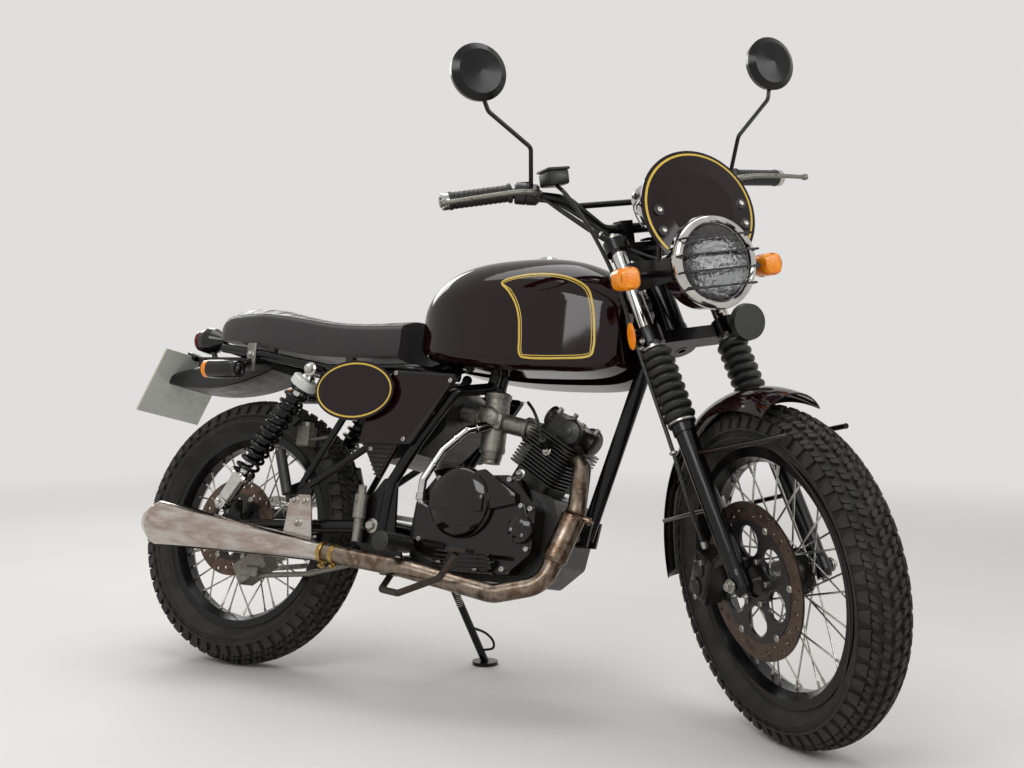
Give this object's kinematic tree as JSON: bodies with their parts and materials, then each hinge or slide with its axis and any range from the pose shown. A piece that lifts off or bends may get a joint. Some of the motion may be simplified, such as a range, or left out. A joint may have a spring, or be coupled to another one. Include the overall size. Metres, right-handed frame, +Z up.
{
  "type": "scrambler motorcycle",
  "caption": "Light scrambler motorcycle leaning on its side stand: twin shocks, air-cooled single, wire wheels with block tyres, small headlamp screen.",
  "frame": {"origin": "middle of the footprint's bounding box, on the ground", "axes": "+X forward along the machine, +Y to the rider's left, +Z up"},
  "size_m": [1.9118, 0.7608, 1.413],
  "materials": {
    "black_plastic": "moulded black plastic",
    "chrome": "bright chrome plate",
    "disc": "ground steel with a brown film",
    "engine_alloy": "cast alloy",
    "engine_black": "black enamel on castings",
    "frame_black": "satin black paint",
    "gloss_black": "deep gloss black with a gold pinstripe",
    "header_steel": "heat-tinted steel pipe",
    "lamp_black": "gloss black lamp body",
    "leather": "stitched black seat cover",
    "lens_glass": "clear lamp glass",
    "plate_white": "blank pale plate",
    "rim": "gloss black enamel",
    "rubber": "soft black rubber",
    "silencer_chrome": "chrome plate with a rusty film",
    "spokes": "bright drawn wire on a cast hub",
    "tyre": "matt block tread rubber"
  },
  "bodies": {
    "chassis": {"air_box": "black_plastic", "carburettor": "engine_alloy", "chain": "spokes", "crankcase": "engine_black", "cylinder": "engine_black", "cylinder_head": "engine_black", "engine_covers": "engine_black", "exhaust_header": "header_steel", "filler_cap": "chrome", "foot_rests": "rubber", "fuel_tank": "gloss_black", "head_frame": "frame_black", "main_frame": "frame_black", "number_plate": "plate_white", "pedals": "engine_alloy", "peg_struts": "frame_black", "rear_axle": "chrome", "rear_brake": "engine_alloy", "rear_guard": "black_plastic", "rear_lamps": "lamp_black", "rear_shocks": "chrome", "rear_uprights": "frame_black", "seat": "leather", "side_panels": "gloss_black", "silencer": "silencer_chrome", "swingarm": "frame_black"},
    "steering": {"fork_yokes": "frame_black", "fork_tubes": "chrome", "fork_gaiters": "rubber", "fork_sliders": "frame_black", "front_axle": "chrome", "front_guard": "gloss_black", "headlamp_shell": "gloss_black", "headlamp_rim": "chrome", "headlamp_lens": "lens_glass", "headlamp_brackets": "frame_black", "fly_screen": "gloss_black", "horn": "black_plastic", "handlebar": "frame_black", "grips": "rubber", "hand_controls": "black_plastic", "mirrors": "frame_black", "speedometer": "chrome", "front_caliper": "frame_black"},
    "front_wheel": {"front_tyre": "tyre", "front_rim": "rim", "front_spokes": "spokes", "front_disc": "disc"},
    "rear_wheel": {"rear_tyre": "tyre", "rear_rim": "rim", "rear_spokes": "spokes", "rear_disc": "disc", "rear_sprocket": "spokes"},
    "side_stand": {"side_stand": "frame_black"}
  },
  "joints": [
    {"name": "steering", "type": "hinge", "parent": "chassis", "child": "steering", "pos_m": [0.42363, -0.03367, 0.74772], "axis": [-0.4451, 0.2014, 0.8725], "range_deg": [0, 82]},
    {"name": "front_wheel_spin", "type": "hinge", "parent": "steering", "child": "front_wheel", "pos_m": [0.68461, -0.16357, 0.31831], "axis": [0.5875, 0.801, 0.1147], "continuous": true},
    {"name": "rear_wheel_spin", "type": "hinge", "parent": "chassis", "child": "rear_wheel", "pos_m": [-0.61732, -0.13592, 0.30481], "axis": [0, 0.9744, -0.225], "continuous": true},
    {"name": "side_stand_fold", "type": "hinge", "parent": "chassis", "child": "side_stand", "pos_m": [-0.15522, -0.0064, 0.22568], "axis": [0.1617, 0.8923, 0.4216], "range_deg": [0, 97]}
  ]
}
